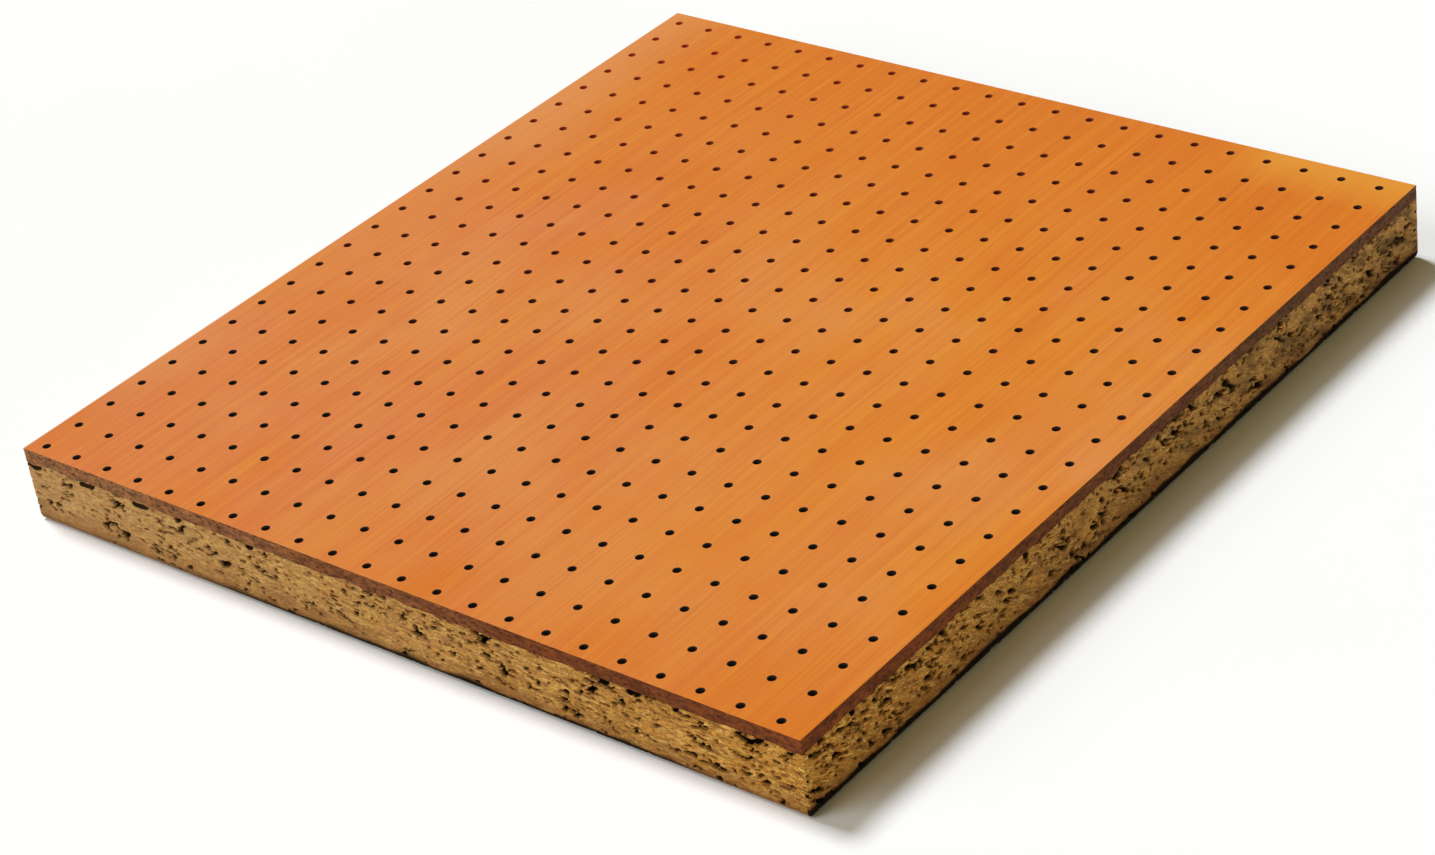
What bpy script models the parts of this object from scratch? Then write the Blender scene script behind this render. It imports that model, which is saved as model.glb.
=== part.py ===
"""Perforated wooden acoustic panel.

A veneered face board, drilled through with a square grid of small holes, lies on a thick core of
open-pored chipboard. The origin is the centre of the panel's back. X runs across the panel, Y runs
along the grain of its face and Z runs up through its thickness. Lengths are in metres.
"""

import math

import bmesh
import bpy

# Grid of drilled holes
COLUMNS = 22
ROWS = 24
PITCH = 0.010
HOLE_DIAMETER = 0.002

# Distances from the centres of the outer holes to the sawn edges
LEFT_MARGIN = 0.0045
RIGHT_MARGIN = 0.0070
FRONT_MARGIN = 0.0032
REAR_MARGIN = 0.0048

# Layers, from the back up to the face
CORE_THICKNESS = 0.015
GLUE_LINE = 0.0003
FACE_THICKNESS = 0.0035

# Facets around a hole, at its mouth in the face and at its exit above the core
MOUTH_SIDES = 5
EXIT_SIDES = 4

# Finishes: colour, roughness
ORANGE_VENEER = (0.52, 0.165, 0.040, 1.0)
VENEER_ROUGHNESS = 0.42
BROWN_CHIPBOARD = (0.37, 0.20, 0.065, 1.0)
CHIPBOARD_ROUGHNESS = 0.85

# Outline of the panel, which the grid and its margins add up to
WIDTH = LEFT_MARGIN + (COLUMNS - 1) * PITCH + RIGHT_MARGIN
LENGTH = FRONT_MARGIN + (ROWS - 1) * PITCH + REAR_MARGIN
LEFT_EDGE = -WIDTH / 2
FRONT_EDGE = -LENGTH / 2
FACE_BOTTOM = CORE_THICKNESS + GLUE_LINE
FACE_TOP = FACE_BOTTOM + FACE_THICKNESS


def clear_scene():
    for item in list(bpy.data.objects):
        bpy.data.objects.remove(item, do_unlink=True)


def make_material(name, colour, roughness):
    """Plain wood finish with a Principled BSDF."""
    material = bpy.data.materials.new(name)
    material.use_nodes = True
    shader = material.node_tree.nodes["Principled BSDF"]
    shader.inputs["Base Color"].default_value = colour
    shader.inputs["Roughness"].default_value = roughness
    shader.inputs["Metallic"].default_value = 0.0
    material.diffuse_color = colour
    return material


def make_object(name, mesh, material):
    """Turn a finished bmesh into a named object of the scene."""
    bmesh.ops.recalc_face_normals(mesh, faces=mesh.faces)
    data = bpy.data.meshes.new(name)
    mesh.to_mesh(data)
    mesh.free()
    data.materials.append(material)
    item = bpy.data.objects.new(name, data)
    bpy.context.scene.collection.objects.link(item)
    return item


def closed_loop(mesh, points):
    """Join points into a closed loop and return its edges."""
    corners = [mesh.verts.new(point) for point in points]
    followers = corners[1:] + corners[:1]
    return [mesh.edges.new(pair) for pair in zip(corners, followers)]


def panel_outline(mesh, height):
    """Sawn outline of the panel at one height."""
    right_edge = LEFT_EDGE + WIDTH
    rear_edge = FRONT_EDGE + LENGTH
    return closed_loop(mesh, [
        (LEFT_EDGE, FRONT_EDGE, height),
        (right_edge, FRONT_EDGE, height),
        (right_edge, rear_edge, height),
        (LEFT_EDGE, rear_edge, height),
    ])


def hole_centres():
    """Centres of all the holes, row by row."""
    first_x = LEFT_EDGE + LEFT_MARGIN
    first_y = FRONT_EDGE + FRONT_MARGIN
    for row in range(ROWS):
        for column in range(COLUMNS):
            yield first_x + column * PITCH, first_y + row * PITCH


def hole_ring(mesh, centre, height, sides):
    """Ring of straight facets that encloses as much area as the round hole does."""
    step = 2 * math.pi / sides
    radius = HOLE_DIAMETER / 2 * math.sqrt(step / math.sin(step))
    points = []
    for corner in range(sides):
        angle = (corner + 0.5) * step
        x = centre[0] + radius * math.cos(angle)
        y = centre[1] + radius * math.sin(angle)
        points.append((x, y, height))
    return closed_loop(mesh, points)


def perforated_surface(mesh, height, sides):
    """Flat surface of the board at one height, open at every hole."""
    outline = panel_outline(mesh, height)
    rings = [hole_ring(mesh, centre, height, sides) for centre in hole_centres()]
    border = outline + [edge for ring in rings for edge in ring]
    bmesh.ops.triangle_fill(mesh, edges=border, use_beauty=True, use_dissolve=False)
    return outline, rings


def make_face_board():
    """Veneered board, drilled right through with the grid of holes."""
    mesh = bmesh.new()
    lower_outline, exits = perforated_surface(mesh, FACE_BOTTOM, EXIT_SIDES)
    upper_outline, mouths = perforated_surface(mesh, FACE_TOP, MOUTH_SIDES)
    bmesh.ops.bridge_loops(mesh, edges=lower_outline + upper_outline)
    for exit_ring, mouth_ring in zip(exits, mouths):
        bmesh.ops.bridge_loops(mesh, edges=exit_ring + mouth_ring)
    material = make_material("veneered_face", ORANGE_VENEER, VENEER_ROUGHNESS)
    return make_object("face_board", mesh, material)


def make_chip_core():
    """Chipboard slab that carries the face board and rests on its back."""
    mesh = bmesh.new()
    back = bmesh.ops.contextual_create(mesh, geom=panel_outline(mesh, 0.0))["faces"]
    walls = bmesh.ops.extrude_face_region(mesh, geom=back, use_keep_orig=True)["geom"]
    top_corners = [item for item in walls if isinstance(item, bmesh.types.BMVert)]
    bmesh.ops.translate(mesh, verts=top_corners, vec=(0.0, 0.0, CORE_THICKNESS))
    material = make_material("open_chipboard", BROWN_CHIPBOARD, CHIPBOARD_ROUGHNESS)
    return make_object("chip_core", mesh, material)


def main():
    clear_scene()
    make_chip_core()
    make_face_board()


main()
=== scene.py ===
"""Fine model and finishes of a perforated wooden acoustic panel.

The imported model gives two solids: the drilled face board and the chipboard core. Here the face board
becomes a veneer sheet on a thin brown board, both drilled with round holes, and the core gets the
pores, chips and broken arrises of its sawn edges. The front of the panel faces -Y, its left is -X.
Lengths are in metres. The noise fields and the finishes work in millimetres from the origin, which
is the centre of the panel's back.
"""

import math
import random

import bmesh
import bpy
from bpy.props import FloatProperty, FloatVectorProperty, IntProperty, PointerProperty
from bpy.types import Operator, Panel, PropertyGroup
from mathutils import Euler, Matrix, Vector, noise


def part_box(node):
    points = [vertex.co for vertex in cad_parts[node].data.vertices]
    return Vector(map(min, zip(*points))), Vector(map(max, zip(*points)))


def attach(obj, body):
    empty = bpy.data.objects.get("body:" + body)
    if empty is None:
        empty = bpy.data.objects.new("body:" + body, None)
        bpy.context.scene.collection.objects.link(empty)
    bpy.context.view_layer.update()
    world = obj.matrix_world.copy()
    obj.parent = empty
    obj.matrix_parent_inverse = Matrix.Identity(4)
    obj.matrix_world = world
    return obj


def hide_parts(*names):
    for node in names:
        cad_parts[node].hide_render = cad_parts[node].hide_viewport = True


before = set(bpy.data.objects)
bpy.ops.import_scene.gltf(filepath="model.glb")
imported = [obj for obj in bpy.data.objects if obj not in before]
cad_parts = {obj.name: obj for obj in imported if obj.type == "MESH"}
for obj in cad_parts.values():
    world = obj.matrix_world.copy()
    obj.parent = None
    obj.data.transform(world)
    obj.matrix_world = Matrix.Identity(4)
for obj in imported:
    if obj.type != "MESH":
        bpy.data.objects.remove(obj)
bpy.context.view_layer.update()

bl_info = {
    "name": "Perforated Acoustic Panel",
    "version": (1, 0, 0),
    "blender": (4, 5, 0),
    "location": "3D View > Sidebar > Acoustic Panel",
    "description": "Builds the drilled veneer face, its board and the open chipboard core of a panel",
    "category": "Add Mesh",
}

MM = 0.001
BODY = "root"

FACE_LOW, FACE_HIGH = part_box("face_board")
CORE_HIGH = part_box("chip_core")[1]
HALF_WIDTH = CORE_HIGH.x
HALF_LENGTH = CORE_HIGH.y

# Top of the core, so far under the board that no two of their faces share a plane
CORE_TOP = FACE_LOW.z - 0.03 * MM

# Angle between two faces over which their shared edge is shaded sharp
SHADE_ANGLE = math.radians(38.0)

# Upward part of a face's normal: more than the first if it is level, less than the second if upright
LEVEL_NORMAL = 0.999
UPRIGHT_NORMAL = 0.5

# Distances within which a place counts as in a plane, and as in one of the uneven sawn edges
SLACK = 0.01 * MM
OUTLINE_SLACK = 0.3 * MM

# Material slots of a drilled sheet's hole walls and sawn edges, after the one of its level faces
WALL_SLOT, EDGE_SLOT = 1, 2

# Places along the front edge, in millimetres, where the core has broken away under the board
FRONT_CREVICES = (
    (-112.0, -105.8), (-93.9, -88.0), (-76.8, -70.7), (-63.4, -60.0), (-41.2, -37.8),
    (58.6, 62.6), (66.0, 70.8), (77.8, 80.4),
)

# Insets of the loops that lead from the core's sawn edges into its level top and back
TOP_INSETS = (1.6 * MM, 3.0 * MM)
BACK_INSET = 1.2 * MM

# Rows of points added up the sawn edges of the board
BOARD_ROWS = 5

# Depths to which the saw sinks the sawn edges, and to which fibres make them rough
SAW_DEPTH = {"board": 0.03 * MM, "core": 0.05 * MM}
FIBRE_DEPTH = {"board": 0.05 * MM, "core": 0.04 * MM}
LEAST_DEPTH = 0.02 * MM

# Broken arris along the core's back, and how far the core's top sinks in a crevice
ARRIS_HEIGHT = 1.0 * MM
ARRIS_DEPTH = 0.25 * MM
CREVICE_DEPTH = 0.9 * MM

# Raised chips: seed of their random draws, and ranges of length, thickness and recess in millimetres
CHIP_SEED = 11
CHIP_LENGTHS = (1.4, 4.6)
CHIP_THICKNESSES = (0.22, 0.60)
CHIP_RECESSES = (0.03, 0.09)

# Raised chips: depth, spread of their slopes in degrees, and room kept from the core's back and top
CHIP_DEPTH = 1.0 * MM
CHIP_SLOPE_SPREAD = 5.0
CHIP_ABOVE_BACK = 1.3 * MM
CHIP_BELOW_TOP = 0.4 * MM

# Lamps: name, direction that the light comes from, softness of the shadows in degrees
SUNS = (
    ("key_lamp", (-0.80, 0.10, 1.33), 17.0),
    ("fill_lamp", (-0.60, -1.0, 0.85), 40.0),
    ("side_lamp", (1.0, -0.30, 0.14), 20.0),
)

# Half of the floor's width, and the colour of the background
FLOOR_REACH = 6.0
WHITE = (1.0, 1.0, 1.0)


def length_property(name, description, default):
    """Setting for a length in metres."""
    return FloatProperty(
        name=name, description=description, default=default, min=0.0, unit="LENGTH", precision=5
    )


def colour_property(name, description, default):
    """Setting for a colour in linear values."""
    return FloatVectorProperty(
        name=name, description=description, default=default, size=3, subtype="COLOR",
        min=0.0, max=1.0,
    )


class DrillingSettings(PropertyGroup):
    """Square grid of holes."""

    columns: IntProperty(name="Columns", description="Holes across the panel", default=22, min=1)
    rows: IntProperty(name="Rows", description="Holes along the panel", default=24, min=1)
    facets: IntProperty(name="Facets", description="Facets around a hole", default=18, min=6)
    pitch: length_property("Pitch", "Distance between hole centres", 0.010)
    diameter: length_property("Diameter", "Diameter of a hole", 0.002)
    left_margin: length_property("Left margin", "From the left edge to the first column", 0.0045)
    front_margin: length_property("Front margin", "From the front edge to the first row", 0.0032)
    mouth: length_property("Mouth", "Rounding of a hole's mouth in the veneer", 0.00007)


class FaceSettings(PropertyGroup):
    """Veneer sheet and the thin board under it."""

    veneer: length_property("Veneer", "Thickness of the veneer sheet", 0.0004)
    arris: length_property("Arris", "Rounding of the veneer's outer arris", 0.00012)
    edge_step: length_property("Edge step", "Distance between points along a sawn edge", 0.0007)
    ledge: length_property("Ledge", "Width of the wavy rim under the board", 0.0012)
    wave: length_property("Wave", "Height of the waves in the glue line", 0.00042)
    orange: colour_property("Orange", "Main colour of the veneer", (0.69, 0.196, 0.011))
    salmon: colour_property("Salmon", "Pinker part of the veneer", (0.68, 0.196, 0.062))
    # Amber also paints the sheen at the veneer's right rear corner
    amber_and_sheen: colour_property("Amber", "Yellower streaks of the veneer", (0.74, 0.292, 0.027))
    rust: colour_property("Rust", "Darker streaks of the veneer", (0.55, 0.120, 0.014))
    deep: colour_property("Deep", "Deeper orange towards the rear", (0.665, 0.168, 0.003))
    # Biscuit also paints the sheen along the veneer's left side
    biscuit_and_sheen: colour_property("Biscuit", "Paler patches of the veneer", (0.71, 0.268, 0.074))
    tan: colour_property("Tan", "Sawn edge of the board, palest", (0.40, 0.178, 0.072))
    maroon: colour_property("Maroon", "Sawn edge of the board, reddest", (0.215, 0.055, 0.013))
    umber: colour_property("Umber", "Sawn edge of the board, greyest", (0.160, 0.066, 0.028))
    # Painted shade inside the holes, and painted light on their walls towards the left rear
    wall_shade: colour_property("Soot", "Burnished wall of a hole", (0.013, 0.009, 0.005))
    lit_wall: colour_property("Ember", "Wall of a hole at the left rear", (0.62, 0.092, 0.028))


class CoreSettings(PropertyGroup):
    """Chipboard core."""

    column_step: length_property("Column step", "Distance between points along an edge", 0.00052)
    row_step: length_property("Row step", "Distance between points up an edge", 0.0003)
    pore_depth: length_property("Pore depth", "Depth of an open pore", 0.0022)
    relief: length_property("Relief", "Unevenness of the sawn chips", 0.00010)
    drift: length_property("Drift", "Raggedness of the pores' rims", 0.00025)
    chips: IntProperty(name="Chips", description="Chips that stand out of the edges", default=1200)
    seed: IntProperty(name="Seed", description="Choice of the pores' pattern", default=2, min=1)
    lean: FloatProperty(
        name="Lean", description="Slope of the pressed chips, downwards to the rear",
        default=math.radians(22.0), subtype="ANGLE",
    )
    straw: colour_property("Straw", "Palest chips", (1.0, 0.62, 0.170))
    gold: colour_property("Gold", "Most of the chips", (0.75, 0.350, 0.060))
    bark: colour_property("Bark", "Darkest chips", (0.27, 0.10, 0.027))
    # Russet colour: redder and darker chips towards the back, partly painted shade towards the foot
    russet_shade: colour_property("Russet", "Redder chips near the back", (0.26, 0.098, 0.032))
    # Paler chips at the left: dust, and partly a painted sheen of the light from the left
    dust_and_sheen: colour_property("Dust", "Paler, dustier chips on the left", (0.62, 0.40, 0.20))
    stain: colour_property("Stain", "Dark olive patches towards the rear", (0.105, 0.064, 0.030))
    # The pore colour is painted shade: the bottom of a pore is painted nearly black
    pore: colour_property("Pore", "Bottom of a pore", (0.009, 0.005, 0.002))


class StudioSettings(PropertyGroup):
    """Floor, lamps and camera."""

    floor: colour_property("Floor", "Colour of the floor, as seen", (1.0, 0.985, 1.0))
    bounce: colour_property(
        "Bounce", "Colour of the floor, as it lights the panel", (0.70, 0.67, 0.62)
    )
    key_strength: FloatProperty(name="Key", description="Strength of the main lamp", default=2.53)
    fill_strength: FloatProperty(name="Fill", description="Strength of the front lamp", default=1.235)
    side_strength: FloatProperty(name="Side", description="Strength of the low lamp", default=0.42)
    lamp_colour: colour_property("Lamps", "Colour of the lamps", (0.90, 0.95, 1.0))
    sky: FloatProperty(name="Sky", description="Strength of the light from all round", default=0.155)
    sky_colour: colour_property(
        "Sky colour", "Colour of the light from all round", (1.0, 0.83, 0.29)
    )
    gap: length_property("Gap", "Height of the panel's back above the floor", 0.0005)
    lens: FloatProperty(name="Lens", description="Focal length in millimetres", default=88.96)
    aim: FloatVectorProperty(
        name="Aim", description="Place that the camera looks at",
        default=(0.0173, -0.02797, 0.0094), size=3, subtype="TRANSLATION", precision=5,
    )
    distance: length_property("Distance", "From the camera to its aim", 0.78882)
    azimuth: FloatProperty(
        name="Azimuth", description="Turn of the camera from the front towards the right",
        default=math.radians(42.80), subtype="ANGLE",
    )
    elevation: FloatProperty(
        name="Elevation", description="Height of the camera above the horizon",
        default=math.radians(32.05), subtype="ANGLE",
    )
    roll: FloatProperty(
        name="Roll", description="Tilt of the camera about its line of sight",
        default=math.radians(-8.54), subtype="ANGLE",
    )


# Meshes


def smooth_step(low, high, value):
    """Smooth rise from 0 at low to 1 at high, which may lie below low."""
    share = min(1.0, max(0.0, (value - low) / (high - low)))
    return share * share * (3.0 - 2.0 * share)


def edge_wave(x, y):
    """Height of the wavy glue line at a place on the outline, about -1 to 1."""
    x, y = x / MM, y / MM
    long_wave = noise.noise(Vector((x / 7.0, y / 7.0, 3.1)))
    short_wave = noise.noise(Vector((x / 2.1, y / 2.1, 8.7)))
    return 1.3 * long_wave + 0.5 * short_wave


def crevice(x, y):
    """How far the core has broken away under the board at a place on the outline, 0 to 1.

    The places along the front edge are set, and those along the other three come from noise.
    """
    x, y = x / MM, y / MM
    if y < 1.0 - HALF_LENGTH / MM:
        ragged = 0.75 + 0.5 * noise.noise(Vector((x / 1.1, 5.0, 9.0)))
        inside = max(
            smooth_step(left, left + 1.6, x) * smooth_step(right, right - 1.6, x)
            for left, right in FRONT_CREVICES
        )
        return min(1.0, ragged * inside * 1.4)
    return smooth_step(0.50, 0.75, noise.fractal(Vector((x / 5.0, y / 5.0, 21.0)), 0.7, 2.0, 3))


def new_outline(mesh, height, step, inset=0.0):
    """Add the panel's closed outline with a point at every step, and return its edges."""
    half_width, half_length = HALF_WIDTH - inset, HALF_LENGTH - inset
    corners = [
        mesh.verts.new((x, y, height))
        for x, y in (
            (-half_width, -half_length), (half_width, -half_length),
            (half_width, half_length), (-half_width, half_length),
        )
    ]
    sides = [mesh.edges.new((corners[k], corners[(k + 1) % 4])) for k in range(4)]
    for pair, size in ((sides[0::2], half_width), (sides[1::2], half_length)):
        bmesh.ops.subdivide_edges(mesh, edges=pair, cuts=round(2 * size / step) - 1)
    return list(mesh.edges)


def grow_loop(mesh, edges, scale=(1.0, 1.0, 1.0), lift=0.0):
    """Extrude a loop of edges, scale and lift the new one, and return its edges."""
    grown = bmesh.ops.extrude_edge_only(mesh, edges=edges)["geom"]
    points = [item for item in grown if isinstance(item, bmesh.types.BMVert)]
    bmesh.ops.scale(mesh, vec=scale, verts=points)
    bmesh.ops.translate(mesh, vec=(0.0, 0.0, lift), verts=points)
    return [item for item in grown if isinstance(item, bmesh.types.BMEdge)]


def inset_scale(inset, start=0.0):
    """Scale that takes an outline inset by start to one inset by inset."""
    return (
        (HALF_WIDTH - inset) / (HALF_WIDTH - start),
        (HALF_LENGTH - inset) / (HALF_LENGTH - start),
        1.0,
    )


def drilled_sheet(settings, drilling, low, high):
    """Flat sheet between two heights, drilled through with the grid of holes."""
    mesh = bmesh.new()
    inner = new_outline(mesh, low, settings.edge_step, settings.ledge)
    first = Vector((-HALF_WIDTH + drilling.left_margin, -HALF_LENGTH + drilling.front_margin, low))
    for row in range(drilling.rows):
        for column in range(drilling.columns):
            centre = first + Vector((column * drilling.pitch, row * drilling.pitch, 0.0))
            bmesh.ops.create_circle(
                mesh, cap_ends=False, segments=drilling.facets, radius=drilling.diameter / 2,
                matrix=Matrix.Translation(centre),
            )
    bmesh.ops.triangle_fill(mesh, edges=list(mesh.edges), use_beauty=True)
    grow_loop(mesh, inner, inset_scale(0.0, settings.ledge))
    raised = bmesh.ops.extrude_face_region(mesh, geom=list(mesh.faces), use_keep_orig=True)["geom"]
    points = [item for item in raised if isinstance(item, bmesh.types.BMVert)]
    bmesh.ops.translate(mesh, vec=(0.0, 0.0, high - low), verts=points)
    bmesh.ops.recalc_face_normals(mesh, faces=mesh.faces)
    for face in mesh.faces:
        if abs(face.normal.z) < UPRIGHT_NORMAL:
            face.material_index = EDGE_SLOT if on_outline(face) else WALL_SLOT
    return mesh


def on_outline(item):
    """True if a face or a point lies in one of the panel's sawn edges."""
    centre = item.calc_center_median() if hasattr(item, "calc_center_median") else item.co
    return (
        abs(centre.x) > HALF_WIDTH - OUTLINE_SLACK or abs(centre.y) > HALF_LENGTH - OUTLINE_SLACK
    )


def along_outline(edge):
    """True if both ends of an edge lie in the panel's sawn edges."""
    return all(on_outline(point) for point in edge.verts)


def finish_piece(name, mesh, materials, replaced):
    """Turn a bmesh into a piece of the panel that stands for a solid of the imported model."""
    data = bpy.data.meshes.new(name)
    mesh.to_mesh(data)
    mesh.free()
    for material in materials:
        data.materials.append(material)
    data.shade_smooth()
    data.set_sharp_from_angle(angle=SHADE_ANGLE)

    # Level faces are shaded flat, so that rounded arrises and mouths cast no shade across them
    for polygon in data.polygons:
        polygon.use_smooth = abs(polygon.normal.z) < LEVEL_NORMAL
    piece = bpy.data.objects.new(name, data)
    bpy.context.scene.collection.objects.link(piece)
    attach(piece, BODY)
    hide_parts(replaced)


def build_veneer_sheet(settings, drilling):
    """Veneer sheet with rounded arrises at its outline and at every hole's mouth."""
    mesh = drilled_sheet(settings, drilling, FACE_HIGH.z - settings.veneer, FACE_HIGH.z)
    sharp = [
        edge for edge in mesh.edges
        if all(point.co.z > FACE_HIGH.z - SLACK for point in edge.verts)
        and any(abs(face.normal.z) < UPRIGHT_NORMAL for face in edge.link_faces)
    ]
    rims = [edge for edge in sharp if along_outline(edge)]
    mouths = [edge for edge in sharp if not along_outline(edge)]
    for edges, offset in ((mouths, drilling.mouth), (rims, settings.arris)):
        bmesh.ops.bevel(
            mesh, geom=edges, offset=offset, segments=2, profile=0.5, affect="EDGES",
            clamp_overlap=True, material=-1,
        )
    bmesh.ops.recalc_face_normals(mesh, faces=mesh.faces)
    return mesh


def build_board(settings, drilling):
    """Brown board under the veneer, with sawn edges and a wavy lower rim."""
    mesh = drilled_sheet(settings, drilling, FACE_LOW.z, FACE_HIGH.z - settings.veneer)
    uprights = [
        edge for edge in mesh.edges
        if along_outline(edge) and abs(edge.verts[0].co.z - edge.verts[1].co.z) > MM
    ]
    bmesh.ops.subdivide_edges(mesh, edges=uprights, cuts=BOARD_ROWS)
    for point in mesh.verts:
        if not on_outline(point):
            continue
        if point.co.z < FACE_LOW.z + SLACK:
            point.co.z += settings.wave * edge_wave(point.co.x, point.co.y)
        fibre = noise.noise(Vector((point.co.x / 0.9, point.co.y / 0.9, point.co.z / 0.5)) / MM)
        sink_in(point, SAW_DEPTH["board"] + FIBRE_DEPTH["board"] * fibre)
    bmesh.ops.recalc_face_normals(mesh, faces=mesh.faces)
    return mesh


def sink_in(point, depth):
    """Move a point of the outline inwards, away from the sawn edges that it lies in."""
    if abs(point.co.x) > HALF_WIDTH - SLACK:
        point.co.x -= math.copysign(depth, point.co.x)
    if abs(point.co.y) > HALF_LENGTH - SLACK:
        point.co.y -= math.copysign(depth, point.co.y)


def pore_at(place, rise):
    """Openness of the chipboard at a place in millimetres, from 0, solid, to 1, open pore.

    The pores lie between the chips, whose height falls by rise for every millimetre to the rear.
    """
    warp = noise.noise_vector(place / 1.3) * 0.45
    cluster = noise.noise(place / 8.0)
    level = place.z + rise * place.y
    coarse = noise.noise(Vector((place.x / 2.8, place.y / 2.8, level / 1.30)) + warp)
    fine = noise.noise(Vector((place.x / 1.3, place.y / 1.3, level / 0.75)) + warp * 1.5)
    skin = smooth_step(1.5, 5.0, place.z)
    threshold = 0.375 - 0.22 * cluster + 0.14 * (1.0 - skin)
    threshold += 0.07 * smooth_step(20.0, -70.0, place.x) - 0.02 * smooth_step(0.0, 90.0, place.y)
    wide = smooth_step(threshold, threshold + 0.05, coarse)
    small = 0.8 * smooth_step(threshold + 0.05, threshold + 0.10, fine)
    return max(wide, small)


def chip_relief(place, rise):
    """Unevenness of the sawn chips at a place in millimetres, 0 to 1, one value for each chip."""
    bend = 0.5 * noise.noise(place / 5.0)
    level = place.z + rise * place.y
    scaled = Vector((place.x / 3.1, place.y / 3.1, level / 0.52 + bend))
    nearest = noise.voronoi(scaled)[1][0]
    return noise.cell(nearest * 17.3)


def painted_foot_shade(place):
    """Darkening of the lowest part of a sawn edge at a place in millimetres, on the pores' scale: a
    painted contact shadow.

    It is strongest along the right edge, which the key and fill lamps leave in shade, and in the
    middle of the front and rear edges.
    """
    ragged = 1.2 + 1.2 * noise.noise(Vector((place.x / 9.0, place.y / 9.0, 40.0)))
    if place.x > HALF_WIDTH / MM - 1.0:
        return 0.62 * smooth_step(2.6, 0.7, place.z / (0.5 * ragged + 0.45))
    middle = smooth_step(-80.0, -25.0, place.x) * smooth_step(105.0, 60.0, place.x)
    ends = smooth_step(115.0, 75.0, place.x)
    return (0.16 * ends + 0.32 * middle) * smooth_step(1.8, 0.2, place.z / max(0.7, ragged))


def build_core(settings, wave):
    """Chipboard slab whose sawn edges have open pores, uneven chips and broken arrises."""
    # Without a seed, noise_vector takes its offsets from the clock
    noise.seed_set(settings.seed)
    mesh = bmesh.new()
    rows = round(CORE_TOP / settings.row_step)
    bottom = new_outline(mesh, 0.0, settings.column_step)
    edges = bottom
    for _ in range(rows):
        edges = grow_loop(mesh, edges, lift=CORE_TOP / rows)
    pores = mesh.verts.layers.float.new("pore")
    for point in mesh.verts:
        shape_edge_point(point, pores, settings, wave)
    reached = 0.0
    for inset in TOP_INSETS:
        edges = grow_loop(mesh, edges, inset_scale(inset, reached))
        reached = inset
    for edge in edges:
        for point in edge.verts:
            point.co.z = CORE_TOP
            point[pores] = 0.0
    back = grow_loop(mesh, bottom, inset_scale(BACK_INSET))
    for edge in back:
        for point in edge.verts:
            point[pores] = 0.0
    bmesh.ops.triangle_fill(mesh, edges=edges, use_beauty=True)
    bmesh.ops.triangle_fill(mesh, edges=back, use_beauty=True)
    bmesh.ops.recalc_face_normals(mesh, faces=mesh.faces)
    return mesh


def near_top(height, start, full=0.0):
    """Nearness to the core's top: 0 at start millimetres under it, 1 at full millimetres."""
    return smooth_step(CORE_TOP - start * MM, CORE_TOP - full * MM, height)


def shape_edge_point(point, pores, settings, wave):
    """Sink one point of the core's sawn edges to where the saw and the glue press left it."""
    x, y, height = point.co
    place = point.co / MM
    rise = math.tan(settings.lean)
    from_side, from_end = HALF_WIDTH - abs(x), HALF_LENGTH - abs(y)
    to_corner = from_side + from_end
    kept = 0.06 + 0.94 * smooth_step(0.3 * MM, 2.8 * MM, to_corner)
    low = smooth_step(1.6, 0.3, place.z)
    gap = crevice(x, y)
    shaded = gap * near_top(height, 1.0, 0.6)
    pore = max(pore_at(place, rise), gap * near_top(height, 0.6, 0.3))
    # The pore value also carries painted shade: in the crevices under the board and the contact shadow
    # along the foot
    point[pores] = max(pore, shaded, painted_foot_shade(place))

    depth = SAW_DEPTH["core"] + settings.relief * chip_relief(place, rise) * (1.0 - 0.8 * low)
    depth += settings.pore_depth * pore * (1.0 - 0.9 * low)
    depth += FIBRE_DEPTH["core"] * noise.noise(place / 0.45)
    arris = max(0.0, 1.0 - height / ARRIS_HEIGHT)
    sink_in(point, max(LEAST_DEPTH, kept * depth + ARRIS_DEPTH * arris))

    if height > 0.0:
        point.co.z += near_top(height, 3.0) * wave * edge_wave(x, y)
    drift = noise.noise_vector(place / 0.8) * kept * settings.drift
    if 1.0 * MM < height < CORE_TOP - 2.0 * MM:
        point.co.z += 0.6 * drift.z
    if from_side > from_end:
        point.co.x += drift.x
    else:
        point.co.y += drift.y
    sunk = gap * smooth_step(0.0, 2.5 * MM, to_corner) * near_top(height, 2.0)
    point.co.z -= CREVICE_DEPTH * sunk


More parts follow.
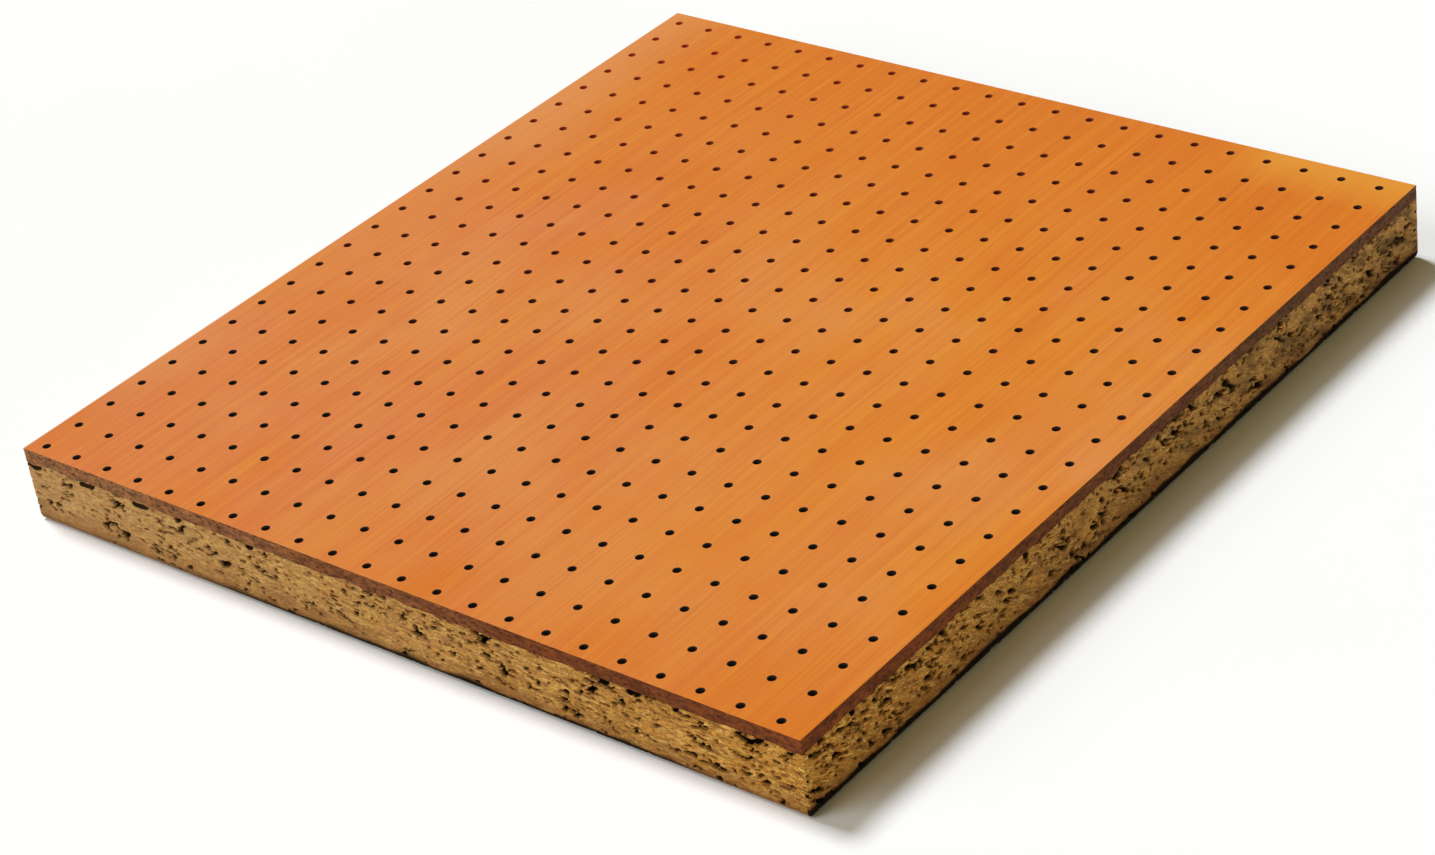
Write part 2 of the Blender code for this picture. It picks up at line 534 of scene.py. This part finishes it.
def build_chips(settings):
    """Separate chips that stand out of the four sawn edges, each a flat six-sided sliver."""
    mesh = bmesh.new()
    tone = mesh.faces.layers.float.new("tone")
    chance = random.Random(CHIP_SEED)
    width, length = 2 * HALF_WIDTH, 2 * HALF_LENGTH
    sides = (
        (Vector((0.0, -1.0, 0.0)), Vector((1.0, 0.0, 0.0)), HALF_LENGTH, width),
        (Vector((1.0, 0.0, 0.0)), Vector((0.0, 1.0, 0.0)), HALF_WIDTH, length),
        (Vector((0.0, 1.0, 0.0)), Vector((-1.0, 0.0, 0.0)), HALF_LENGTH, width),
        (Vector((-1.0, 0.0, 0.0)), Vector((0.0, -1.0, 0.0)), HALF_WIDTH, length),
    )
    for outward, along, reach, span in sides:
        for _ in range(round(settings.chips * span / (2 * (width + length)))):
            size = chance.uniform(*CHIP_LENGTHS) * MM
            thickness = chance.uniform(*CHIP_THICKNESSES) * MM
            recess = chance.uniform(*CHIP_RECESSES) * MM
            slope = math.radians(chance.gauss(0.0, CHIP_SLOPE_SPREAD)) - settings.lean * outward.x
            rise = size / 2 * abs(math.sin(slope)) + thickness / 2
            place = along * chance.uniform(-span / 2 + size, span / 2 - size)
            place += outward * (reach - recess - CHIP_DEPTH / 2)
            place.z = chance.uniform(CHIP_ABOVE_BACK + rise, CORE_HIGH.z - CHIP_BELOW_TOP - rise)
            tilt = Matrix.Rotation(slope, 4, outward)
            upright = Vector((0, 0, thickness))
            axes = Matrix((along * size, upright, -outward * CHIP_DEPTH)).transposed()
            if axes.determinant() < 0:
                axes.col[2].negate()
            made = bmesh.ops.create_cone(
                mesh, cap_ends=True, cap_tris=False, segments=6, radius1=0.5, radius2=0.5,
                depth=1.0, matrix=Matrix.Translation(place) @ tilt @ axes.to_4x4(),
            )["verts"]
            shade = chance.random()
            for face in {face for point in made for face in point.link_faces}:
                face[tone] = shade
    bmesh.ops.recalc_face_normals(mesh, faces=mesh.faces)
    return mesh


# Finishes


def place_node(tree, kind, values=None, **settings):
    """Add a node, set it up and feed its inputs from values or from other nodes' sockets."""
    node = tree.nodes.new(kind)
    for name, value in settings.items():
        setattr(node, name, value)
    for name, value in (values or {}).items():
        if isinstance(value, bpy.types.NodeSocket):
            tree.links.new(value, node.inputs[name])
        else:
            node.inputs[name].default_value = value
    return node


def stretched(tree, vector, scale):
    """Coordinates scaled along each axis, for a pattern that is longer one way."""
    return place_node(tree, "ShaderNodeMapping", {"Vector": vector, "Scale": scale}).outputs[0]


def noise_value(tree, vector, scale, detail=2.0, roughness=0.5):
    """Noise, 0 to 1, with one scale for all axes or one for each of them."""
    if isinstance(scale, tuple):
        vector, scale = stretched(tree, vector, scale), 1.0
    values = {"Vector": vector, "Scale": scale, "Detail": detail, "Roughness": roughness}
    return place_node(tree, "ShaderNodeTexNoise", values).outputs["Fac"]


def remap(tree, value, low, high, new_low=0.0, new_high=1.0):
    """Value stretched from one range to another, and held within it."""
    values = {
        "Value": value, "From Min": low, "From Max": high, "To Min": new_low, "To Max": new_high,
    }
    return place_node(tree, "ShaderNodeMapRange", values).outputs["Result"]


def blend_colour(tree, share, first, second, mode="MIX"):
    """Blend two colours, each a socket or three numbers, by a share."""
    node = place_node(tree, "ShaderNodeMix", data_type="RGBA", blend_type=mode)
    for index, value in ((0, share), (6, first), (7, second)):
        if isinstance(value, bpy.types.NodeSocket):
            tree.links.new(value, node.inputs[index])
        else:
            node.inputs[index].default_value = value if index == 0 else (*value, 1.0)
    return node.outputs[2]


def scale_colour(colour, factor):
    """Colour with each of its parts multiplied by a factor."""
    return [factor * part for part in colour]


def combine(tree, operation, *values):
    """Result of a sum on numbers or sockets."""
    values = dict(enumerate(values))
    return place_node(tree, "ShaderNodeMath", values, operation=operation).outputs[0]


def combine_vectors(tree, operation, first, second, output="Vector"):
    """Result of a sum on two vectors."""
    values = {0: first, 1: second}
    return place_node(tree, "ShaderNodeVectorMath", values, operation=operation).outputs[output]


def split(tree, vector):
    """Outputs X, Y and Z of a vector."""
    return place_node(tree, "ShaderNodeSeparateXYZ", {0: vector}).outputs


def start_group(name, inputs, outputs):
    """Node group with named sockets, its tree and its two end nodes."""
    tree = bpy.data.node_groups.new(name, "ShaderNodeTree")
    for direction, sockets in (("INPUT", inputs), ("OUTPUT", outputs)):
        for socket_name, kind in sockets:
            tree.interface.new_socket(name=socket_name, in_out=direction, socket_type=kind)
    return tree, tree.nodes.new("NodeGroupInput"), tree.nodes.new("NodeGroupOutput")


def fibre_group():
    """Fine wood fibre: darkening and height of short fibres along the stretch of the vector."""
    found = bpy.data.node_groups.get("wood_fibre")
    if found:
        return found
    tree, start, end = start_group(
        "wood_fibre",
        (("Vector", "NodeSocketVector"), ("Depth", "NodeSocketFloat")),
        (("Shade", "NodeSocketFloat"), ("Height", "NodeSocketFloat")),
    )
    fine = noise_value(tree, start.outputs["Vector"], 1.0, 4.0, 0.62)
    coarse = noise_value(tree, start.outputs["Vector"], 0.31, 2.0, 0.5)
    mixed = combine(tree, "MULTIPLY_ADD", fine, 0.65, combine(tree, "MULTIPLY", coarse, 0.35))
    centred = remap(tree, mixed, 0.32, 0.68, -1.0, 1.0)
    shade = combine(tree, "MULTIPLY", centred, start.outputs["Depth"])
    tree.links.new(combine(tree, "ADD", shade, 1.0), end.inputs["Shade"])
    tree.links.new(mixed, end.inputs["Height"])
    return tree


def add_fibre(tree, vector, depth):
    """Outputs Shade and Height of the wood fibre group, placed in a material or a group."""
    values = {"Vector": vector, "Depth": depth}
    return place_node(tree, "ShaderNodeGroup", values, node_tree=fibre_group()).outputs


def chip_group():
    """Chipboard: colour, roughness and height from a chip's tone and the depth of its pore."""
    found = bpy.data.node_groups.get("chip_finish")
    if found:
        return found
    core = bpy.context.scene.acoustic_core
    tree, start, end = start_group(
        "chip_finish",
        (
            ("Vector", "NodeSocketVector"), ("Grain", "NodeSocketVector"),
            ("Tone", "NodeSocketFloat"), ("Seam", "NodeSocketFloat"), ("Pore", "NodeSocketFloat"),
        ),
        (
            ("Color", "NodeSocketColor"), ("Roughness", "NodeSocketFloat"),
            ("Height", "NodeSocketFloat"),
        ),
    )
    given = start.outputs
    axes = split(tree, given["Vector"])
    fibre = add_fibre(tree, stretched(tree, given["Grain"], (1.0, 1.0, 2.6)), 0.42)
    colour = chip_tones(tree, core, given["Tone"], given["Seam"], fibre["Shade"])
    colour = chip_patches(tree, core, colour, given["Vector"], given["Grain"], axes)
    # Open pores, crevices and the foot are blended into the painted shade of pore_colour
    open_share = remap(tree, given["Pore"], 0.06, 0.42)
    colour = blend_colour(tree, open_share, colour, pore_colour(tree, core, axes))
    tree.links.new(colour, end.inputs["Color"])
    tree.links.new(remap(tree, fibre["Height"], 0.3, 0.7, 0.78, 0.95), end.inputs["Roughness"])
    tree.links.new(fibre["Height"], end.inputs["Height"])
    return tree


def chip_tones(tree, core, tone, seam, shade):
    """Colour of a clean chip by its tone, darker in its seams and shaded by its fibres."""
    dark = blend_colour(tree, remap(tree, tone, -0.15, 0.32), core.bark, core.gold)
    pale = blend_colour(tree, remap(tree, tone, 0.50, 1.20), dark, core.straw)
    seamed = blend_colour(tree, seam, pale, core.bark)
    return blend_colour(tree, 1.0, seamed, shade, "MULTIPLY")


def chip_patches(tree, core, colour, place, grain, axes):
    """Dust and painted sheen at the left, dark spots and specks, stains at the right rear and a redder
    foot with painted shade.

    The grain is the place with its height changed by leaning, so spots and stains follow the chips.
    """
    # Paler towards the left rear: dust, and partly a painted sheen of the light from the left
    to_left_rear = combine_vectors(tree, "DOT_PRODUCT", place, (-0.0025, 0.0016, 0.0), "Value")
    paler_share = remap(tree, to_left_rear, -0.47, 0.13, 0.0, 0.62)
    colour = blend_colour(tree, paler_share, colour, core.dust_and_sheen)

    spots = noise_value(tree, grain, (0.42, 0.42, 0.95), 2.0)
    colour = blend_colour(tree, remap(tree, spots, 0.56, 0.72, 0.0, 0.6), colour, core.bark)
    specks = noise_value(tree, grain, (1.3, 1.3, 2.8), 3.0, 0.6)
    to_right = remap(tree, axes["X"], -60.0, 105.0, 0.55, 0.85)
    speckled = combine(tree, "MULTIPLY", remap(tree, specks, 0.54, 0.64), to_right)
    colour = blend_colour(tree, speckled, colour, core.bark)

    stains = noise_value(tree, grain, (0.15, 0.15, 0.30), 2.0)
    right_rear = combine(
        tree, "MULTIPLY", remap(tree, axes["Y"], -80.0, 80.0),
        remap(tree, axes["X"], -60.0, 90.0, 0.25, 1.0),
    )
    stained = combine(tree, "MULTIPLY", remap(tree, stains, 0.42, 0.64, 0.0, 0.80), right_rear)
    colour = blend_colour(tree, stained, colour, core.stain)

    # Redder and darker towards the back: a russet tint with painted shade at the foot
    blotch = noise_value(tree, place, 0.13, 2.0)
    level = combine(tree, "MULTIPLY_ADD", blotch, 7.0, axes["Z"])
    return blend_colour(tree, remap(tree, level, 9.5, 3.0, 0.0, 0.75), colour, core.russet_shade)


def pore_colour(tree, core, axes):
    """Colour of a pore's bottom: painted shade, nearly black, lighter at the left and above the foot
    behind the front edge.
    """
    at_left = remap(tree, axes["X"], 20.0, -90.0, 0.0, 0.6)
    above_foot = combine(
        tree, "MULTIPLY", remap(tree, axes["Y"], -116.0, -70.0, 0.0, 0.40),
        remap(tree, axes["Z"], 1.8, 3.4),
    )
    paler_share = combine(tree, "MAXIMUM", at_left, above_foot)
    return blend_colour(tree, paler_share, core.pore, core.stain)


def start_material(name):
    """New material, its tree, its shader and its object coordinates in millimetres."""
    material = bpy.data.materials.new(name)
    material.use_nodes = True
    tree = material.node_tree
    shader = tree.nodes["Principled BSDF"]
    coordinates = place_node(tree, "ShaderNodeTexCoord").outputs["Object"]
    return material, tree, shader, stretched(tree, coordinates, (1 / MM, 1 / MM, 1 / MM))


def connect(tree, shader, colour, roughness, height, distance, gloss=None):
    """Feed a shader's colour, roughness and bump, and set its specular level."""
    bump = place_node(
        tree, "ShaderNodeBump", {"Height": height, "Distance": distance, "Strength": 1.0}
    )
    tree.links.new(colour, shader.inputs["Base Color"])
    tree.links.new(roughness, shader.inputs["Roughness"])
    tree.links.new(bump.outputs["Normal"], shader.inputs["Normal"])
    if gloss is not None:
        shader.inputs["Specular IOR Level"].default_value = gloss


def veneer_finish(face):
    """Satin orange veneer with straight grain along Y."""
    material, tree, shader, place = start_material("orange_veneer")
    waver = noise_value(tree, place, (0.02, 0.012, 0.0), 1.0)
    drift = place_node(tree, "ShaderNodeCombineXYZ", {"X": remap(tree, waver, 0, 1, -1.5, 1.5)})
    bent = combine_vectors(tree, "ADD", place, drift.outputs[0])
    clouds = noise_value(tree, place, (0.022, 0.017, 0.0), 3.0, 0.55)
    streaks = noise_value(tree, bent, (2.0, 0.026, 0.0), 4.0, 0.65)
    pores = noise_value(tree, bent, (6.5, 0.30, 0.0), 2.0, 0.6)
    axes = split(tree, place)
    colour = veneer_patches(tree, face, place, bent, axes, clouds)
    colour = veneer_grain(tree, face, colour, bent, streaks, pores)
    colour = veneer_margins(tree, face, colour, place, axes, clouds)
    rough = remap(tree, streaks, 0.3, 0.7, 0.50, 0.62)
    connect(tree, shader, colour, rough, pores, -0.02 * MM, gloss=0.15)
    return material


def veneer_patches(tree, face, place, bent, axes, clouds):
    """Broad figure: amber bands, a pinker left front, paler clouds, and deeper rear and corner."""
    bands = noise_value(tree, bent, (0.16, 0.007, 0.0), 3.0, 0.6)
    banded = remap(tree, bands, 0.40, 0.72, 0.12, 0.60)
    colour = blend_colour(tree, banded, face.orange, face.amber_and_sheen)

    near = remap(tree, axes["Y"], 102.0, 22.0)
    patches = noise_value(tree, place, (0.016, 0.010, 0.0), 2.0)
    to_left_front = combine_vectors(tree, "DOT_PRODUCT", place, (-0.0048, -0.0036, 0.0), "Value")
    pinker = combine(tree, "MULTIPLY_ADD", patches, 2.0, to_left_front)
    pink = combine(tree, "MULTIPLY", remap(tree, pinker, 0.55, 1.75), near)
    colour = blend_colour(tree, pink, colour, face.salmon)
    pale = combine(tree, "MULTIPLY", remap(tree, clouds, 0.50, 0.34, 0.0, 0.62), near)
    colour = blend_colour(tree, pale, colour, face.biscuit_and_sheen)

    rear = combine(
        tree, "MULTIPLY", remap(tree, axes["Y"], 20.0, 108.0, 0.0, 0.92),
        remap(tree, axes["X"], -110.0, -60.0, 0.30, 1.0),
    )
    corner = combine(
        tree, "MULTIPLY", remap(tree, axes["Y"], -80.0, -119.0),
        remap(tree, axes["X"], 60.0, 112.0, 0.4, 1.0),
    )
    ends = combine(tree, "ADD", rear, corner)
    deeper = combine(tree, "ADD", ends, remap(tree, clouds, 0.50, 0.66, 0.0, 0.55))
    return blend_colour(tree, deeper, colour, face.deep)


def veneer_grain(tree, face, colour, bent, streaks, pores):
    """Wide stripes, narrow streaks and fine pores that run along the grain."""
    stripes = noise_value(tree, bent, (0.55, 0.013, 0.0), 2.0, 0.6)
    for pattern, start, full, depth, tint in (
        (stripes, 0.50, 0.72, 0.30, face.rust),
        (stripes, 0.50, 0.28, 0.36, face.amber_and_sheen),
        (streaks, 0.46, 0.78, 0.54, face.rust),
        (streaks, 0.44, 0.22, 0.42, face.amber_and_sheen),
        (pores, 0.60, 0.80, 0.40, face.rust),
    ):
        share = remap(tree, pattern, start, full, 0.0, depth)
        colour = blend_colour(tree, share, colour, tint)
    return colour


def veneer_margins(tree, face, colour, place, axes, clouds):
    """Painted sheen: a paler left side and a golden right rear corner; also a faint golden glow at the
    right front.
    """
    # Painted sheen along the left side
    left_sheen = combine(
        tree, "MULTIPLY", remap(tree, axes["X"], -88.0, -109.0, 0.0, 0.75),
        remap(tree, axes["Y"], -60.0, 60.0, 0.12, 1.0),
    )
    colour = blend_colour(tree, left_sheen, colour, face.biscuit_and_sheen)
    rear_line = combine(tree, "MULTIPLY_ADD", clouds, 40.0, axes["X"])
    # Painted sheen at the right rear corner
    right_rear = combine(
        tree, "MULTIPLY", remap(tree, axes["Y"], 102.0, 116.0, 0.0, 0.85),
        remap(tree, rear_line, 80.0, 96.0),
    )
    colour = blend_colour(tree, right_rear, colour, face.amber_and_sheen)
    centre = (52.0, -48.0, FACE_HIGH.z / MM)
    away = combine_vectors(tree, "DISTANCE", place, centre, "Value")
    return blend_colour(tree, remap(tree, away, 75.0, 20.0, 0.0, 0.16), colour, face.amber_and_sheen)


def board_finish(face):
    """Dark reddish-brown sawn edge of the thin board."""
    material, tree, shader, place = start_material("brown_board")
    fibre = add_fibre(tree, stretched(tree, place, (1.6, 1.6, 5.0)), 0.45)
    axes = split(tree, place)
    # Paler towards the left: a painted sheen of the light from the left
    patches = noise_value(tree, place, 0.06, 2.0)
    darker = combine(tree, "MULTIPLY_ADD", patches, 160.0, axes["X"])
    colour = blend_colour(tree, remap(tree, darker, -30.0, 115.0), face.tan, face.maroon)
    colour = blend_colour(tree, remap(tree, axes["Y"], -90.0, 60.0), colour, face.umber)
    colour = blend_colour(tree, 1.0, colour, fibre["Shade"], "MULTIPLY")
    mottle = noise_value(tree, place, (0.22, 0.22, 0.7), 3.0, 0.6)
    mottled = remap(tree, mottle, 0.35, 0.65, 0.66, 1.34)
    colour = blend_colour(tree, 1.0, colour, mottled, "MULTIPLY")
    specks = noise_value(tree, place, (0.8, 0.8, 1.3), 3.0, 0.65)
    speckled = remap(tree, specks, 0.50, 0.64, 0.0, 0.85)
    colour = blend_colour(tree, speckled, colour, scale_colour(face.maroon, 0.25))
    rough = remap(tree, fibre["Height"], 0.3, 0.7, 0.70, 0.90)
    connect(tree, shader, colour, rough, fibre["Height"], 0.05 * MM, gloss=0.15)
    return material


def drilled_finish(face):
    """Nearly black wall of a drilled hole, painted shade, and redder towards the left rear, where its
    lit side is painted.
    """
    material, tree, shader, place = start_material("drilled_wall")
    rings = noise_value(tree, place, (0.6, 0.6, 4.0), 3.0)
    colour = blend_colour(tree, remap(tree, rings, 0.4, 0.7), face.wall_shade, scale_colour(face.wall_shade, 1.8))
    axes = split(tree, place)
    # Painted light on the hole walls towards the left rear
    painted_wall_light = combine(
        tree, "MULTIPLY", remap(tree, axes["Y"], -60.0, 95.0),
        remap(tree, axes["X"], 110.0, -110.0, 0.06, 1.0),
    )
    colour = blend_colour(tree, painted_wall_light, colour, face.lit_wall)
    connect(tree, shader, colour, remap(tree, rings, 0.3, 0.7, 0.55, 0.75), rings, 0.03 * MM)
    return material


def chipboard_finish(name, chip_of):
    """Chipboard finish, with a chip's tone and seam from chip_of and its pore from the mesh."""
    material, tree, shader, place = start_material(name)
    pore = place_node(tree, "ShaderNodeAttribute", attribute_name="pore").outputs["Fac"]
    grain = leaning(tree, place)
    tone, seam = chip_of(tree, grain)
    values = {"Vector": place, "Grain": grain, "Tone": tone, "Seam": seam, "Pore": pore}
    chip = place_node(tree, "ShaderNodeGroup", values, node_tree=chip_group()).outputs
    connect(
        tree, shader, chip["Color"], chip["Roughness"], chip["Height"], 0.10 * MM, gloss=0.06
    )
    return material


def leaning(tree, place):
    """Coordinates whose height follows the pressed chips, which slope down to the rear."""
    rise = math.tan(bpy.context.scene.acoustic_core.lean)
    lift = combine(tree, "MULTIPLY", split(tree, place)["Y"], rise)
    lifted = place_node(tree, "ShaderNodeCombineXYZ", {"Z": lift}).outputs[0]
    return combine_vectors(tree, "ADD", place, lifted)


def sawn_chips(tree, place):
    """Tone and seams of the flat chips that a sawn edge cuts through, one for each cell."""
    bend = noise_value(tree, place, 0.2, 1.0)
    shift = place_node(tree, "ShaderNodeCombineXYZ", {"Z": remap(tree, bend, 0, 1, -0.8, 0.8)})
    bent = combine_vectors(tree, "ADD", place, shift.outputs[0])
    values = {"Vector": stretched(tree, bent, (0.40, 0.40, 1.5)), "Scale": 1.0}
    cells = place_node(tree, "ShaderNodeTexVoronoi", values)
    gaps = place_node(tree, "ShaderNodeTexVoronoi", values, feature="DISTANCE_TO_EDGE")
    tone = place_node(tree, "ShaderNodeSeparateColor", {0: cells.outputs["Color"]}).outputs[0]
    return tone, remap(tree, gaps.outputs["Distance"], 0.0, 0.14, 0.55, 0.0)


def raised_chips(tree, place):
    """Tone that each chip carries in its mesh, and thin darker cracks along it."""
    tone = place_node(tree, "ShaderNodeAttribute", attribute_name="tone").outputs["Fac"]
    cracks = noise_value(tree, place, (0.5, 0.5, 5.0), 2.0)
    return tone, remap(tree, cracks, 0.62, 0.72, 0.0, 0.4)


# Operators


class ACOUSTIC_OT_face(Operator):
    """Build the veneer sheet and the thin board under it"""

    bl_idname = "acoustic.build_face"
    bl_label = "Build Drilled Face"
    bl_options = {"REGISTER", "UNDO"}

    def execute(self, context):
        face, drilling = context.scene.acoustic_face, context.scene.acoustic_drilling
        wall, edge = drilled_finish(face), board_finish(face)
        finish_piece(
            "veneer_sheet", build_veneer_sheet(face, drilling),
            [veneer_finish(face), wall, edge], "face_board",
        )
        finish_piece(
            "thin_board", build_board(face, drilling),
            [edge, wall, edge], "face_board",
        )
        return {"FINISHED"}


class ACOUSTIC_OT_core(Operator):
    """Build the chipboard core and the chips that stand out of its edges"""

    bl_idname = "acoustic.build_core"
    bl_label = "Build Chipboard Core"
    bl_options = {"REGISTER", "UNDO"}

    def execute(self, context):
        core, face = context.scene.acoustic_core, context.scene.acoustic_face
        finish_piece(
            "porous_core", build_core(core, face.wave),
            [chipboard_finish("sawn_chipboard", sawn_chips)], "chip_core",
        )
        finish_piece(
            "edge_chips", build_chips(core),
            [chipboard_finish("raised_chips", raised_chips)], "chip_core",
        )
        return {"FINISHED"}


class ACOUSTIC_OT_studio(Operator):
    """Set up the floor, the lamps and the camera"""

    bl_idname = "acoustic.set_studio"
    bl_label = "Set Up Studio"
    bl_options = {"REGISTER", "UNDO"}

    def execute(self, context):
        studio = context.scene.acoustic_studio
        build_floor(studio)
        strengths = studio.key_strength, studio.fill_strength, studio.side_strength
        for (name, direction, softness), strength in zip(SUNS, strengths):
            add_sun(name, strength, studio.lamp_colour, direction, softness)
        light_sky(context, studio.sky, studio.sky_colour)
        place_camera(context, studio)
        context.scene.view_settings.view_transform = "Standard"
        return {"FINISHED"}


def seen_directly(tree):
    """1 for rays that the camera sees straight or in a reflection, 0 for light that bounces."""
    rays = place_node(tree, "ShaderNodeLightPath").outputs
    seen = combine(tree, "MAXIMUM", rays["Is Camera Ray"], rays["Is Glossy Ray"])
    return combine(tree, "MAXIMUM", seen, rays["Is Transmission Ray"])


def build_floor(studio):
    """Wide pale floor that the panel lies on."""
    mesh = bmesh.new()
    bmesh.ops.create_grid(
        mesh, x_segments=8, y_segments=8, size=FLOOR_REACH,
        matrix=Matrix.Translation((0.0, 0.0, -studio.gap)),
    )
    data = bpy.data.meshes.new("studio_floor")
    mesh.to_mesh(data)
    mesh.free()
    material, tree, shader, place = start_material("floor_paper")
    mottle = noise_value(tree, place, 0.01, 2.0)
    paper = blend_colour(
        tree, remap(tree, mottle, 0.3, 0.7), studio.floor, scale_colour(studio.floor, 0.99)
    )
    tone = blend_colour(tree, seen_directly(tree), studio.bounce, paper)
    tree.links.new(tone, shader.inputs["Base Color"])
    shader.inputs["Roughness"].default_value = 0.9
    shader.inputs["Specular IOR Level"].default_value = 0.0
    data.materials.append(material)
    floor = bpy.data.objects.new("studio_floor", data)
    bpy.context.scene.collection.objects.link(floor)


def add_sun(name, strength, colour, direction, softness):
    """Sun lamp that shines from a direction, with soft shadows."""
    lamp = bpy.data.lights.new(name, "SUN")
    lamp.energy = strength
    lamp.color = colour
    lamp.angle = math.radians(softness)
    item = bpy.data.objects.new(name, lamp)
    item.rotation_euler = Vector(direction).to_track_quat("Z", "Y").to_euler()
    bpy.context.scene.collection.objects.link(item)


def light_sky(context, strength, colour):
    """Even warm light from all round, white where the camera sees it."""
    world = bpy.data.worlds.new("studio_sky")
    world.use_nodes = True
    tree = world.node_tree
    background = tree.nodes["Background"]
    backdrop = blend_colour(tree, seen_directly(tree), scale_colour(colour, strength), WHITE)
    tree.links.new(backdrop, background.inputs["Color"])
    background.inputs["Strength"].default_value = 1.0
    context.scene.world = world


def place_camera(context, studio):
    """Camera at the viewing angle of the photograph."""
    facing = Euler((math.pi / 2 - studio.elevation, 0.0, studio.azimuth)).to_matrix()
    facing = facing @ Matrix.Rotation(studio.roll, 3, "Z")
    data = bpy.data.cameras.new("view_camera")
    data.lens = studio.lens
    data.clip_start = 0.01
    camera = bpy.data.objects.new("view_camera", data)
    camera.location = Vector(studio.aim) + facing @ Vector((0.0, 0.0, studio.distance))
    camera.rotation_euler = facing.to_euler()
    context.scene.collection.objects.link(camera)
    context.scene.camera = camera


class ACOUSTIC_PT_panel(Panel):
    """Sizes, colours and steps of the acoustic panel"""

    bl_idname = "ACOUSTIC_PT_panel"
    bl_label = "Acoustic Panel"
    bl_space_type = "VIEW_3D"
    bl_region_type = "UI"
    bl_category = "Acoustic Panel"

    def draw(self, context):
        for group, operators in STEPS:
            box = self.layout.box()
            settings = getattr(context.scene, group)
            for name in settings.__annotations__:
                box.prop(settings, name)
            for operator in operators:
                box.operator(operator)


# Boxes of the sidebar: group of settings, and the operators that are drawn under it
STEPS = (
    ("acoustic_drilling", ()),
    ("acoustic_face", ("acoustic.build_face",)),
    ("acoustic_core", ("acoustic.build_core",)),
    ("acoustic_studio", ("acoustic.set_studio",)),
)

# Groups of settings, by the names under which the scene carries them
SETTINGS = {
    "acoustic_drilling": DrillingSettings,
    "acoustic_face": FaceSettings,
    "acoustic_core": CoreSettings,
    "acoustic_studio": StudioSettings,
}

# Classes to register, settings first
CLASSES = (
    *SETTINGS.values(), ACOUSTIC_OT_face, ACOUSTIC_OT_core, ACOUSTIC_OT_studio, ACOUSTIC_PT_panel,
)


def register():
    for item in CLASSES:
        bpy.utils.register_class(item)
    for name, kind in SETTINGS.items():
        setattr(bpy.types.Scene, name, PointerProperty(type=kind))


def unregister():
    for name in SETTINGS:
        delattr(bpy.types.Scene, name)
    for item in reversed(CLASSES):
        bpy.utils.unregister_class(item)


def main():
    register()
    bpy.ops.acoustic.set_studio()
    bpy.ops.acoustic.build_face()
    bpy.ops.acoustic.build_core()


if __name__ == "__main__":
    main()
